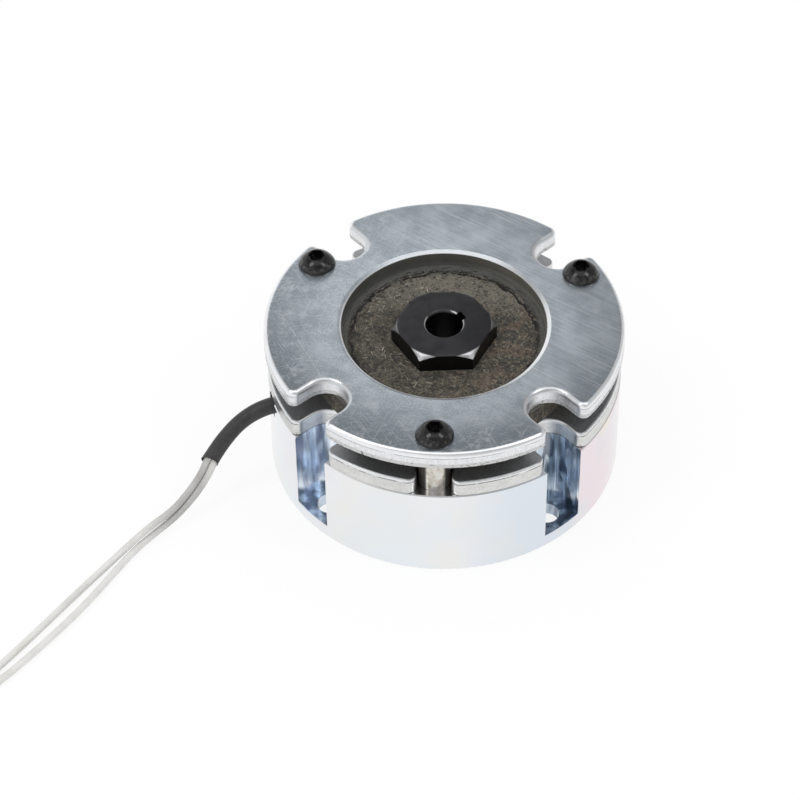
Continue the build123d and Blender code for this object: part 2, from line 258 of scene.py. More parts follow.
lead_size = 0.002
wire_a_route = [
    (-0.0382, -0.0135, 0.0274), (-0.04365, -0.0153, 0.0274), (-0.0497, -0.01735, 0.0268),
    (-0.0557, -0.0198, 0.0248), (-0.0607, -0.0223, 0.0206), (-0.0643, -0.0247, 0.0159),
    (-0.0664, -0.0279, 0.0113), (-0.0698, -0.0319, 0.0077), (-0.0739, -0.0369, 0.0052),
    (-0.079, -0.0414, 0.0042), (-0.084, -0.0466, 0.0026), (-0.0886, -0.0523, 0.0014),
    (-0.0933, -0.059, 0.001), (-0.0992, -0.0682, 0.001), (-0.1054, -0.0782, 0.0011),
    (-0.1126, -0.0892, 0.001), (-0.119, -0.0984, 0.0011), (-0.1239, -0.1058, 0.0012),
]
wire_b_route = [
    (-0.0388, -0.0115, 0.0274), (-0.04435, -0.0133, 0.0274), (-0.0505, -0.01545, 0.0268),
    (-0.0557, -0.0182, 0.0234), (-0.0595, -0.0217, 0.0190), (-0.0625, -0.0253, 0.0151),
    (-0.0648, -0.0286, 0.0105), (-0.0683, -0.0324, 0.0065), (-0.0732, -0.0375, 0.0032),
    (-0.0793, -0.0427, 0.0011), (-0.084, -0.0494, 0.001), (-0.0893, -0.0595, 0.001),
    (-0.0948, -0.0699, 0.0011), (-0.1014, -0.08, 0.001), (-0.1086, -0.0904, 0.001),
    (-0.1156, -0.0994, 0.0011), (-0.1219, -0.1066, 0.0012),
]
coil_centre = np.array((-0.1323, -0.1004))
coil_pitch = 0.00205
points_per_turn = 16
# A spline of order 3 runs inside a ring of 16 control points by this share of its radius.
ring_share = math.cos(math.pi / points_per_turn)

lead_white = (0.715, 0.710, 0.692)
lead_grey = (0.625, 0.617, 0.595)
lead_scuff = (0.54, 0.53, 0.51)
lead_painted_shade = (0.33, 0.325, 0.315)
insulation, spot = start_finish("off_white_insulation")
smear = patches(spot, (6, 6, 6), detail=3)
scuff = patches(spot, (0.5, 0.5, 0.5), detail=2)
colour = smear.rise(0.35, 0.75).mixed(lead_white, lead_grey)
colour = scuff.rise(0.66, 0.76).mixed(colour, lead_scuff)
x = split(spot)[0]
# Painted shade: the first stretch that comes out of the sleeve is greyed, standing in for shade there.
shaded_stretch = x.rise(-84, -70) * x.rise(-63, -67)
colour = (shaded_stretch * (0.5 + 0.5 * smear)).mixed(colour, lead_painted_shade)
end_finish(spot, colour, 0.38 + 0.2 * smear, scuff, 0.01, Coat_Weight=0.15)


def wound_lead(name, route, radius, turns):
    """Route, then a clockwise coil: ring points every 22.5 degrees that climb a pitch a turn."""
    route = np.array(route)
    start = math.atan2(route[-1, 1] - coil_centre[1], route[-1, 0] - coil_centre[0])
    part = np.append(np.arange(1, math.ceil(turns * points_per_turn)) / points_per_turn, turns)
    angle = start - 2 * math.pi * part
    reach = np.append(np.full(len(part) - 1, radius / ring_share), radius)
    climb = route[-1, 2] + coil_pitch * part
    ring = np.c_[coil_centre[0] + reach * np.cos(angle), coil_centre[1] + reach * np.sin(angle), climb]
    points = np.concatenate([route, ring])
    piece = bpy.data.objects.new(name, cord_line(name, points, lead_size))
    bpy.context.scene.collection.objects.link(piece)
    piece.data.materials.append(insulation)
    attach(piece, "stator")
    return piece, drawn_line(points)


cord_a, line_a = wound_lead("lead_cord_a", wire_a_route, radius=0.0100, turns=4.106)
cord_b, line_b = wound_lead("lead_cord_b", wire_b_route, radius=0.0121, turns=3.364)
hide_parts("lead_wire_a", "lead_coil")
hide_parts("lead_wire_b")


# Lead ends: seven tinned copper strands, stripped bare for 6 mm and twisted.
# They run straight on from the end of each wire's last turn.
def skin(name, grids, along=False):
    """Closed surface over grids of points: rows run along, columns around, and open ends get flat caps.
    Faces point outwards, which the sign of the enclosed volume decides."""
    corners, quads, fans, first = [], [], [], 0
    for grid in grids:
        rows, columns = grid.shape[:2]
        number = first + np.arange(rows * columns).reshape(rows, columns)
        ahead = np.roll(number, -1, 0) if along else number[1:]
        here = number if along else number[:-1]
        near, far = np.roll(here, -1, 1), np.roll(ahead, -1, 1)
        quads.append(np.stack([here, near, far, ahead], -1).reshape(-1, 4))
        corners.append(grid.reshape(-1, 3))
        first += rows * columns
        if not along:
            for row, turn in ((0, -1), (rows - 1, 1)):
                corners.append(grid[row].mean(0)[None])
                ring = number[row][::turn]
                fans.append(np.stack([ring, np.roll(ring, -1), np.full(columns, first)], -1))
                first += 1
    corners = np.concatenate(corners)
    quads = np.concatenate(quads)
    fans = np.concatenate(fans) if fans else np.empty((0, 3), int)
    a, b, c, d = (corners[quads[:, k]] for k in range(4))
    e, f, g = (corners[fans[:, k]] for k in range(3))
    volume = (a * np.cross(b, c)).sum() + (a * np.cross(c, d)).sum() + (e * np.cross(f, g)).sum()
    if volume < 0:
        quads, fans = quads[:, ::-1], fans[:, ::-1]
    mesh = bpy.data.meshes.new(name)
    mesh.from_pydata(corners.tolist(), [], quads.tolist() + fans.tolist())
    mesh.update()
    mesh.shade_smooth()
    mesh.set_sharp_from_angle(angle=math.radians(50))
    piece = bpy.data.objects.new(name, mesh)
    bpy.context.scene.collection.objects.link(piece)
    return piece


def carried(line, sideways, upwards):
    """Profile carried along a line: the line's point, plus sideways times the level direction across the
    line, plus upwards times the direction square to both. Rows run along the line, columns around it."""
    heading = np.gradient(line, axis=0)
    heading /= np.linalg.norm(heading, axis=1)[:, None]
    across = np.cross(heading, (0, 0, 1))
    across /= np.linalg.norm(across, axis=1)[:, None]
    over = np.cross(across, heading)
    return line[:, None] + sideways[..., None] * across[:, None] + upwards[..., None] * over[:, None]


strand_radius = 0.00019
strand_ring = 0.00036
strand_spread = 0.12
tip_length = 0.006
tin_bright = (0.74, 0.73, 0.70)
tin_dull = (0.60, 0.59, 0.57)
tinned, spot = start_finish("tinned_strands")
dull = patches(spot, (0.8, 0.8, 0.8))
end_finish(spot, dull.mixed(tin_bright, tin_dull), 0.25 + 0.2 * dull, Metallic=1.0)


def twisted_tip(name, line, node):
    """Strands round a straight axis: six whose centres turn half a turn about it and spread a little
    towards the free end, and one on it."""
    along = np.linspace(0, 1, 15)[:, None]
    heading = line[-1] - line[-2]
    heading = heading * (1, 1, 0) / np.linalg.norm(heading[:2])
    axis = line[-1] + along * tip_length * heading
    around = np.linspace(0, 2 * math.pi, 10, endpoint=False)[None]
    grids = []
    for strand in range(7):
        ring = strand_ring * (strand > 0) * (1 + strand_spread * along ** 3)
        turn = math.pi * (strand / 3 + along)
        sideways = ring * np.cos(turn) + strand_radius * np.cos(around)
        upwards = ring * np.sin(turn) + strand_radius * np.sin(around)
        grids.append(carried(axis, sideways, upwards))
    piece = skin(name, grids)
    piece.data.materials.append(tinned)
    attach(piece, "stator")
    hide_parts(node)
    return piece


tip_a = twisted_tip("lead_strands_a", line_a, "lead_tip_a")
tip_b = twisted_tip("lead_strands_b", line_b, "lead_tip_b")

# Tie: a soft black plastic band, 3 mm wide, closed round the turns of the coil.
# It stops them from springing open.
tie_angle = math.radians(120)
tie_reach = 0.01105
tie_gap = 0.0003
tie_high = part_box("lead_tie")[1]
tie_black = (0.020, 0.020, 0.022)
tie_worn = (0.045, 0.045, 0.047)
tie_soft, spot = start_finish("tie_plastic")
worn = patches(spot, (0.7, 0.7, 0.7))
end_finish(spot, worn.mixed(tie_black, tie_worn), 0.45 + 0.2 * worn, worn, 0.02)


def boxed(wave, power):
    """A sine or cosine drawn out towards -1 and 1: its sign times its size to a power below 1."""
    return np.sign(wave) * np.abs(wave) ** power


def band(name, middle, half_width, half_height, half_breadth, half_thickness):
    """Closed band: a squarish loop, whose cosine and sine are drawn towards its corners, in the plane of
    the coil's radius and height, with a flat rounded section."""
    loop = np.linspace(0, 2 * math.pi, 96, endpoint=False)[:, None]
    section = np.linspace(0, 2 * math.pi, 16, endpoint=False)[None]
    thick = half_thickness * boxed(np.cos(section), 0.6)
    broad = half_breadth * boxed(np.sin(section), 0.4)
    out = middle[0] + half_width * boxed(np.cos(loop), 0.35) + thick * np.cos(loop)
    up = middle[1] + half_height * boxed(np.sin(loop), 0.35) + thick * np.sin(loop)
    x = coil_centre[0] + out * math.cos(tie_angle) - broad * math.sin(tie_angle)
    y = coil_centre[1] + out * math.sin(tie_angle) + broad * math.cos(tie_angle)
    return skin(name, [np.stack([x, y, up + 0 * broad], -1)], along=True)


tie = band("coil_band", middle=(tie_reach, tie_high.z / 2), half_width=0.00250,
           half_height=tie_high.z / 2 - tie_gap, half_breadth=0.0015, half_thickness=0.00015)
tie.data.materials.append(tie_soft)
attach(tie, "stator")
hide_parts("lead_tie")

# Sleeve: matte dark-grey tubing pushed over both wires where they leave the housing.
# It ends in an open mouth, cut a little aslant, with some play round the wires.
# Its route goes 1.7 mm past the solid's end, to where the picture has the mouth.
sleeve_route = [
    (-0.0385, -0.0125, 0.0274), (-0.044, -0.0143, 0.0274), (-0.0501, -0.0164, 0.0268),
    (-0.0557, -0.019, 0.0241), (-0.0601, -0.022, 0.0198), (-0.0634, -0.025, 0.0155),
    (-0.0642, -0.0259, 0.0143),
]
sleeve_outer = 0.0023
sleeve_inner = 0.0021
sleeve_slant = 0.0030
sleeve_flare = 0.08
sleeve_lip = 0.00008
sleeve_black = (0.020, 0.020, 0.022)
sleeve_grey = (0.034, 0.034, 0.036)
sleeve_dust = (0.12, 0.12, 0.12)
tubing, spot = start_finish("sleeve_tubing")
soft = patches(spot, (3, 3, 3), detail=3)
dust = patches(spot, (0.35, 0.35, 0.35), detail=3)
colour = soft.rise(0.3, 0.7).mixed(sleeve_black, sleeve_grey)
colour = dust.rise(0.62, 0.80).mixed(colour, sleeve_dust)
end_finish(spot, colour, 0.40 + 0.2 * dust, dust, 0.04)


def tubing_sleeve(name, line, outer, inner):
    """Tube along a line: the outer wall out to the mouth, the inner wall back, and both ends closed over.
    Its radius swells and shrinks by a fiftieth along its length and flares at the mouth. There the upper
    front side is drawn back by half the slant and the other side drawn out by half. Flare and slant grow
    with the twelfth power of the way along."""
    around = np.linspace(0, 2 * math.pi, 40, endpoint=False)[None]
    along = np.linspace(0, 1, len(line))[:, None]
    at_mouth = along ** 12
    swell = 1 + 0.02 * np.sin(9 * along) * np.sin(math.pi * along) + sleeve_flare * at_mouth
    heading = (line[-1] - line[-2]) / np.linalg.norm(line[-1] - line[-2])
    slant = at_mouth * 0.5 * np.sin(around - math.pi / 4)
    drawn_back = sleeve_slant * slant[..., None] * heading
    walls = [carried(line, radius * swell * np.cos(around), radius * swell * np.sin(around)) - drawn_back
             for radius in (outer, (outer + inner) / 2, inner)]
    lip = walls[1][-1:] + sleeve_lip * heading
    return skin(name, [np.concatenate([walls[0], lip, walls[2][::-1], walls[1][:1]])], along=True)


sleeve = tubing_sleeve("lead_tubing", drawn_line(sleeve_route), sleeve_outer, sleeve_inner)
sleeve.data.materials.append(tubing)
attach(sleeve, "stator")
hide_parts("lead_sleeve")

# Grommet: a moulded rubber plug that fills the channel in the rim and seals the leads in.
# Its edges are rounded by the mould, and it stands a little below the housing's top.
plug_low, plug_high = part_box("lead_grommet")
exit_angle = math.radians(198)
exit_reach = 0.0375
plug_black = (0.022, 0.022, 0.024)
plug_bloom = (0.050, 0.050, 0.050)
rubber, spot = start_finish("moulded_rubber")
bloom = patches(spot, (1.2, 1.2, 1.2), detail=3)
end_finish(spot, bloom.mixed(plug_black, plug_bloom), 0.55 + 0.2 * bloom, bloom, 0.03)


def rounded_block(name, middle, halves, turn):
    """Block with round edges: each coordinate is its half size times a sine or cosine, drawn to the corners
    by a power of 0.25, so |x|^8 + |y|^8 + |z|^8 = 1 in half sizes. It is turned about the vertical."""
    up = np.linspace(-math.pi / 2, math.pi / 2, 33)[1:-1, None]
    around = np.linspace(0, 2 * math.pi, 48, endpoint=False)[None]
    x = halves[0] * boxed(np.cos(up), 0.25) * boxed(np.cos(around), 0.25)
    y = halves[1] * boxed(np.cos(up), 0.25) * boxed(np.sin(around), 0.25)
    z = middle[2] + halves[2] * boxed(np.sin(up), 0.25) + 0 * x
    turned_x = middle[0] + x * math.cos(turn) - y * math.sin(turn)
    turned_y = middle[1] + x * math.sin(turn) + y * math.cos(turn)
    return skin(name, [np.stack([turned_x, turned_y, z], -1)])


plug_middle = (exit_reach * math.cos(exit_angle), exit_reach * math.sin(exit_angle),
               (plug_low.z + plug_high.z) / 2)
plug_half = (0.0030, 0.0026, (plug_high.z - plug_low.z) / 2)
plug = rounded_block("exit_plug", plug_middle, plug_half, exit_angle)
plug.data.materials.append(rubber)
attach(plug, "stator")
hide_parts("lead_grommet")


# Housing: a turned steel cup with milled mounting slots, zinc plated and passivated to a bright finish.
# The plating is nearly a mirror on the rim, blue and streaky in the slots, with a faint pink and yellow tint.
# In the right-hand slots, grey streaks and dark patches are painted reflections, and pale patches low in the
# slots are painted highlights.
def dress(finish, *nodes):
    """Puts a finish on solids of the frame, through their material slots."""
    for node in nodes:
        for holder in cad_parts[node].material_slots:
            holder.material = finish


cos_45 = 0.7071
slot_half = 6.30
slot_start = 36.5
rim_edge = 49.2
foot_top = 4.4
zinc_cool = (0.80, 0.845, 0.885)
zinc_warm = (0.84, 0.85, 0.865)
zinc_blue = (0.68, 0.74, 0.82)
zinc_rose = (0.77, 0.69, 0.73)
zinc_pink = (0.86, 0.74, 0.78)
zinc_straw = (0.86, 0.80, 0.66)
slot_blue = (0.68, 0.77, 0.88)
slot_white = (0.90, 0.95, 1.0)
slot_violet = (0.42, 0.45, 0.57)
slot_painted_grey_reflection = (0.38, 0.46, 0.55)
slot_painted_dark_reflection = (0.09, 0.11, 0.15)
slot_painted_gleam = (0.84, 0.90, 0.97)
foot_dark = (0.20, 0.24, 0.31)
foot_pale = (0.60, 0.68, 0.78)
bright_zinc, spot = start_finish("bright_zinc")
x, y, z, out = split(spot)
diagonal = spot.math("MINIMUM", abs(x + y), abs(x - y)) * cos_45
in_slot = diagonal.rise(slot_half + 0.15, slot_half) * out.rise(slot_start - 1, slot_start)
in_slot = in_slot * out.rise(rim_edge + 0.15, rim_edge)
on_foot = in_slot * z.rise(foot_top + 0.2, foot_top)
cloud = patches(spot, (26, 26, 18), detail=2)
tint = patches(spot, (17, 17, 30), 40, detail=2)
turned = patches(spot, (60, 60, 0.22), detail=3)
milled = patches(spot, (1.0, 1.0, 30), detail=3)
wide = patches(spot, (3.0, 3.0, 16), detail=1)
colour = cloud.rise(0.35, 0.65).mixed(zinc_cool, zinc_warm)
colour = (x.rise(2, 26) * x.rise(44, 36) * 0.7).mixed(colour, zinc_blue)
colour = (x.rise(34, 46) * (0.45 + 0.5 * cloud)).mixed(colour, zinc_rose)
colour = (tint.rise(0.50, 0.66) * (0.30 + 0.40 * x.rise(15, 48))).mixed(colour, zinc_pink)
colour = (tint.rise(0.50, 0.38) * (0.15 + 0.6 * x.rise(34, 48))).mixed(colour, zinc_straw)
right_hand = x.rise(-10, 10)
upper = z.rise(18, 24)
deep = milled.rise(0.42, 0.56).mixed(slot_blue, slot_white)
deep = (wide.rise(0.48, 0.41) * (1 - right_hand) * 0.7).mixed(deep, slot_violet)
# Painted reflections: grey streaks and dark patches in the right-hand slots, most towards the bottom.
deep = (right_hand * milled.rise(0.57, 0.50) * (0.9 - 0.35 * upper)).mixed(deep, slot_painted_grey_reflection)
deep = (right_hand * wide.rise(0.51, 0.45) * (0.95 - 0.15 * upper)).mixed(deep, slot_painted_dark_reflection)
# Painted highlight: pale patches low in the slots.
painted_gleam_patch = patches(spot, (5, 5, 5), 15, detail=1).rise(0.54, 0.64) * z.rise(18, 14)
deep = (painted_gleam_patch * (0.8 - 0.2 * right_hand)).mixed(deep, slot_painted_gleam)
deep = on_foot.mixed(deep, wide.rise(0.36, 0.62).mixed(foot_dark, foot_pale))
colour = in_slot.mixed(colour, deep)
rough = 0.13 + 0.10 * cloud + 0.06 * in_slot * milled
relief = (1 - in_slot) * turned * 0.5 + in_slot * (milled + 0.5 * wide)
end_finish(spot, colour, rough, relief, 0.012, Metallic=1.0)
dress(bright_zinc, "stator_housing")

# Coil: enamelled copper wire wound on a nylon bobbin and sealed into the cup under black resin.
# None of it shows while the brake is whole, but it is there when it is taken apart.
winding_pitch = 0.45
wire_dark = (0.30, 0.10, 0.05)
wire_bright = (0.72, 0.34, 0.18)
nylon_dull = (0.74, 0.71, 0.62)
nylon_pale = (0.82, 0.80, 0.73)
resin_black = (0.012, 0.012, 0.014)
resin_grey = (0.030, 0.030, 0.034)
copper, spot = start_finish("enamelled_copper")
z = split(spot)[2]
layer = spot.math("SINE", z * (2 * math.pi / winding_pitch)) * 0.5 + 0.5
age = patches(spot, (3, 3, 1))
colour = (layer * 0.6 + age * 0.4).mixed(wire_dark, wire_bright)
end_finish(spot, colour, 0.3 + 0.15 * age, layer, 0.08, Metallic=0.9)
dress(copper, "coil_winding")
nylon, spot = start_finish("natural_nylon")
grain = patches(spot, (2, 2, 2), detail=3)
end_finish(spot, grain.mixed(nylon_dull, nylon_pale), 0.45 + 0.15 * grain, grain, 0.02)
dress(nylon, "coil_bobbin")
resin, spot = start_finish("casting_resin")
ripple = patches(spot, (5, 5, 5), detail=2)
end_finish(spot, ripple.mixed(resin_black, resin_grey), 0.18 + 0.15 * ripple, ripple, 0.1)
dress(resin, "coil_resin")

# Torque springs: six compression springs of round steel wire in blind pockets of the inner pole.
# Their end turns are closed and ground flat; they push the armature up when the coil is off.
spring_wire = 0.0004
spring_mean = 0.0021
spring_circle = 0.0205
spring_turns = 6.5
spring_foot = 0.0160
spring_head = 0.0302
closed_climb = 0.12
ground_off = 0.0002
spring_dark = (0.30, 0.30, 0.31)
spring_bright = (0.46, 0.45, 0.44)
oiled, spot = start_finish("oiled_spring_steel")
film = patches(spot, (1.0, 1.0, 1.0), detail=3)
end_finish(spot, film.mixed(spring_dark, spring_bright), 0.25 + 0.2 * film, film, 0.01, Metallic=1.0)


def spring(name, centre):
    """Helix with closed ends: its height climbs slowly over the first and last turn and evenly between,
    a round section is carried along it, and heights past the two ground faces are cut back to them."""
    turn = np.linspace(0, 1, 260) * spring_turns
    slow = np.clip(turn, 0, 1) * closed_climb + np.clip(turn - spring_turns + 1, 0, 1) * closed_climb
    climb = (np.clip(turn - 1, 0, spring_turns - 2) + slow) / (spring_turns - 2 + 2 * closed_climb)
    height = spring_foot + ground_off + climb * (spring_head - spring_foot - 2 * ground_off)
    angle = 2 * math.pi * turn
    line = np.c_[centre[0] + spring_mean * np.cos(angle), centre[1] + spring_mean * np.sin(angle), height]
    around = np.linspace(0, 2 * math.pi, 12, endpoint=False)[None]
    wire = carried(line, spring_wire * np.cos(around), spring_wire * np.sin(around))
    wire[..., 2] = np.clip(wire[..., 2], spring_foot, spring_head)
    return skin(name, [wire])


for number in range(6):
    angle = number * math.pi / 3
    centre = (spring_circle * math.cos(angle), spring_circle * math.sin(angle))
    piece = spring(f"pole_spring_{number + 1}", centre)
    piece.data.materials.append(oiled)
    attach(piece, "stator")
    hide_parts(f"torque_spring_{number + 1}")
    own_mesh(piece)

# Armature: a blanked steel plate with tumbled, rounded edges and a dull ground face.
# It slides on the collars, and its notches clear the mounting bolts.
collar_circle = 43
collar_turns = (-90, 30, 150)
notch_reach = 4.9
armature_top = 34.95
armature_wall = 34.1
crease_height = 34.2
top_dark = (0.34, 0.35, 0.36)
top_pale = (0.50, 0.51, 0.52)
side_dark = (0.58, 0.58, 0.57)
side_pale = (0.76, 0.76, 0.75)
edge_dark = (0.74, 0.75, 0.76)
edge_pale = (0.86, 0.87, 0.88)
crease_shade_dark = (0.12, 0.12, 0.12)
notch_painted_shade = (0.10, 0.10, 0.10)
dull_steel, spot = start_finish("tumbled_steel")
x, y, z, out = split(spot)
flat = z.rise(armature_top, armature_top + 0.2)
wall = z.rise(armature_wall + 0.3, armature_wall)
pits = patches(spot, (0.45, 0.45, 0.45), detail=4)
blotch = patches(spot, (5, 5, 3), detail=3)
swirl = patches(spot, (16, 0.3, 16), -30, detail=3)
tops = (0.6 * pits + 0.2 * swirl + 0.2 * blotch).rise(0.36, 0.66).mixed(top_dark, top_pale)
sides = (0.6 * pits + 0.4 * blotch).rise(0.34, 0.64).mixed(side_dark, side_pale)
edges = pits.rise(0.3, 0.7).mixed(edge_dark, edge_pale)
colour = flat.mixed(wall.mixed(edges, sides), tops)
# Painted shade: a dark line along the edge's crease, broken up by noise, stands in for the crease's shade.
crease_shade_line = abs(z + 0.4 * (pits - 0.5) - crease_height).rise(0.26, 0.10)
crease_shade_line = crease_shade_line * blotch.rise(0.40, 0.50) * out.rise(47.5, 48.5)
colour = (crease_shade_line * 0.85).mixed(colour, crease_shade_dark)
# Painted shade: the notch walls round the collars are darkened where the narrow gap to each collar is shaded.
collar_gap_shade = 0.0
for turn in collar_turns:
    across = x - collar_circle * math.cos(math.radians(turn))
    along = y - collar_circle * math.sin(math.radians(turn))
    collar_gap_shade = collar_gap_shade + spot.math("SQRT", across * across + along * along).rise(notch_reach + 0.7, notch_reach)
colour = (collar_gap_shade * (1 - flat) * 0.85).mixed(colour, notch_painted_shade)
end_finish(spot, colour, 0.26 + 0.18 * pits + 0.06 * flat, pits + 0.4 * blotch, 0.03, Metallic=1.0)
dress(dull_steel, "armature_plate")


# Rotor core: a disc moulded from brown friction compound, with a hexagon hole that slides on the hub.
# Its face is granular, with pale fibres and brass flecks, and it is paler towards the back. A dark ragged
# line at the foot of the upper ring is painted shadow.
def flecks(spot, size, share, radius):
    """Round spots, one to a cell of that size, in a share of the cells; 1 inside a spot, whose radius is
    given in cells and fades over its outer four tenths."""
    cell = spot.add("TexVoronoi", {}, {"Vector": spot, "Scale": 1.0 / size}, "Distance")
    drawn = spot.add("SeparateColor", {}, {0: Tone(spot.tree, cell.socket.node.outputs["Color"])})
    return cell.rise(radius, radius * 0.6) * drawn.rise(1 - share, 1.02 - share)


def hairlines(spot, turn, length, width, most):
    """Mask of sparse straight hairlines, that long and wide in millimetres, turned by degrees; the noise
    is stretched along them and only its highest crests are kept, down to the level most."""
    crest = patches(spot, (length, width, 4), turn, detail=1)
    return crest.rise(most, most + 0.06)


compound_dark = (0.040, 0.037, 0.029)
compound_brown = (0.076, 0.067, 0.051)
compound_red = (0.100, 0.064, 0.045)
grit_pale = (0.20, 0.175, 0.130)
back_pale = (0.20, 0.185, 0.150)
pit_dark = (0.016, 0.014, 0.012)
crumb_dark = (0.020, 0.018, 0.015)
crumb_pale = (0.15, 0.13, 0.095)
fibre_pale = (0.50, 0.46, 0.38)
brass_fleck = (0.36, 0.31, 0.22)
ring_foot_shadow = (0.008, 0.007, 0.006)
ring_shadow_circle = 26.0
fibre_length = 3.4
fibre_width = 0.34
compound, spot = start_finish("friction_compound")
x, y, _, out = split(spot)
mass = patches(spot, (6, 6, 6), detail=3)
grit = patches(spot, (0.62, 0.62, 0.62), detail=4)
crumbs = patches(spot, (1.5, 1.5, 1.5), detail=5)
sown = patches(spot, (5, 5, 5), 20, detail=1).rise(0.42, 0.56) * (0.35 + 0.65 * x.rise(10, -8))
fibre = 0.0
for turn in (68, -24, -75, 31):
    fibre = spot.math("MAXIMUM", fibre, hairlines(spot, turn, fibre_length, fibre_width, 0.70))
colour = mass.rise(0.36, 0.62).mixed(compound_dark, compound_brown)
colour = (mass.rise(0.46, 0.60) * x.rise(-5, 20) * 0.6).mixed(colour, compound_red)
colour = (grit.rise(0.52, 0.68) * (0.6 + 0.3 * x.rise(-20, 0))).mixed(colour, grit_pale)
# Paler towards the back.
colour = (y.rise(6, 20) * (0.2 + 0.7 * mass)).mixed(colour, back_pale)
colour = (grit.rise(0.46, 0.36) * 0.9).mixed(colour, pit_dark)
colour = (crumbs.rise(0.47, 0.36) * (0.7 - 0.3 * x.rise(5, 20))).mixed(colour, crumb_dark)
colour = (crumbs.rise(0.56, 0.66) * 0.4).mixed(colour, crumb_pale)
colour = (fibre * sown * 0.9).mixed(colour, fibre_pale)
colour = flecks(spot, 0.8, 0.07, 0.16).mixed(colour, brass_fleck)
# Painted shadow: a ragged dark line round the core at the foot of the upper ring's inner wall, where the
# ring's step shades it.
ring_shadow_line = abs(out + 3.5 * (mass - 0.5) + 2.0 * (crumbs - 0.5) - ring_shadow_circle).rise(0.60, 0.20)
colour = (ring_shadow_line * mass.rise(0.38, 0.50)).mixed(colour, ring_foot_shadow)
end_finish(spot, colour, 0.72 + 0.15 * grit, 0.8 * grit + 0.8 * crumbs, 0.20)
dress(compound, "rotor_core")

# Friction rings: harder grey compound moulded on both faces of the core, outside the hub's field.
# The inner corner of the upper one is ragged and chipped where it broke from the mould.
ring_bore = 0.0265
lip_circle = 27.0
ring_dark = (0.050, 0.050, 0.045)
ring_grey = (0.092, 0.091, 0.081)
ring_pale = (0.130, 0.127, 0.110)
lip_dark = (0.020, 0.018, 0.016)
worn_ring, spot = start_finish("worn_friction_ring")
x, y, z, out = split(spot)
turn = spot.math("ARCTAN2", y, x)
bent = spot.add("CombineXYZ", {}, {0: turn * lip_circle, 1: out, 2: z})
smear = patches(bent, (5, 0.35, 2), detail=3)
grit = patches(spot, (0.42, 0.42, 0.42), detail=4)
lip = out.rise(lip_circle + 0.2, lip_circle - 0.3)
colour = smear.rise(0.36, 0.64).mixed(ring_dark, ring_grey)
colour = (grit.rise(0.48, 0.68) * 0.7).mixed(colour, ring_pale)
colour = (lip * grit.rise(0.62, 0.40)).mixed(colour, lip_dark)
end_finish(spot, colour, 0.55 + 0.2 * grit, grit + 0.5 * smear, 0.08)


def friction_ring(name, low, high, inner, outer, ragged):
    """Ring: four rounded corners between two radii and two heights; its inner wall and inner top corner
    are pushed about by a sum of sines in the angle, most at the corner, up to ragged. A corner of the
    section is its radius, its height, and its share of the tear and of the chip."""
    angle = np.linspace(0, 2 * math.pi, 720, endpoint=False)[None]
    counts = np.arange(5, 65)
    waves = np.random.default_rng(7).uniform(0, 2 * math.pi, (2, 60))
    tear, chip = (sum(np.sin(count * angle + phase) / count ** 0.5 for count, phase in zip(counts, phases))
                  for phases in waves)
    tear, chip = tear / np.abs(tear).max(), np.clip(chip / np.abs(chip).max(), 0, 1)
    round_off = 0.00015
    outline = np.array([
        (outer, low + round_off, 0, 0), (outer, high - round_off, 0, 0), (outer - round_off, high, 0, 0),
        (inner + 0.0016, high, 0, 0), (inner + 0.0006, high, 0.5, 0.3), (inner + 0.0002, high - 0.0001, 1, 1),
        (inner, high - 0.0004, 0.8, 0.4), (inner, low + 0.0001, 0.3, 0), (inner + 0.0016, low, 0, 0),
        (outer - round_off, low, 0, 0)])[..., None]
    radius = outline[:, 0] + ragged * (outline[:, 2] * np.clip(tear, -0.4, 1) + outline[:, 3] * chip)
    height = outline[:, 1] - 0.3 * ragged * outline[:, 3] * chip
    grid = np.stack([radius * np.cos(angle), radius * np.sin(angle), height + 0 * angle], -1)
    return skin(name, [grid], along=True)


for name, node, ragged in (("upper_friction_ring", "rotor_lining_upper", 0.0012),
                           ("lower_friction_ring", "rotor_lining_lower", 0.0003)):
    low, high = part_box(node)
    if node == "rotor_lining_upper":
        piece = friction_ring(name, low.z, high.z, ring_bore, high.x, ragged)
    else:
        # The lower ring is made at its height's negative and turned over about the X axis.
        piece = friction_ring(name, -high.z, -low.z, ring_bore, high.x, ragged)
        places = np.empty(len(piece.data.vertices) * 3)
        piece.data.vertices.foreach_get("co", places)
        piece.data.vertices.foreach_set("co", (places.reshape(-1, 3) * (1, -1, -1)).ravel())
    piece.data.materials.append(worn_ring)
    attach(piece, "rotor")
    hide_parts(node)

# Hub: a steel hexagon bar, faced at both ends with its corners turned off aslant, then bored and
# broached for the shaft's key. It is blackened with a satin oxide, thinner on the turned corners, and the
# edges of its bore are polished by fitting it. Darker flanks and a darker right-hand side are painted shade;
# the brighter front corners and the bright arcs left and right of the bore are painted highlights.
hub_low, hub_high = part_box("hex_hub")
hub_flat = 0.0127
hub_face = 0.0129
hub_bevel = 0.00015
hub_bore = 0.0050
hub_mouth = 0.0056
key_floor = 0.0064
key_half = 0.0015
key_angle = math.radians(36)
corner_slope = 0.87
corner_cone_slope = 0.95
highlight_arc_circle = 5.40
groove_turn = 17
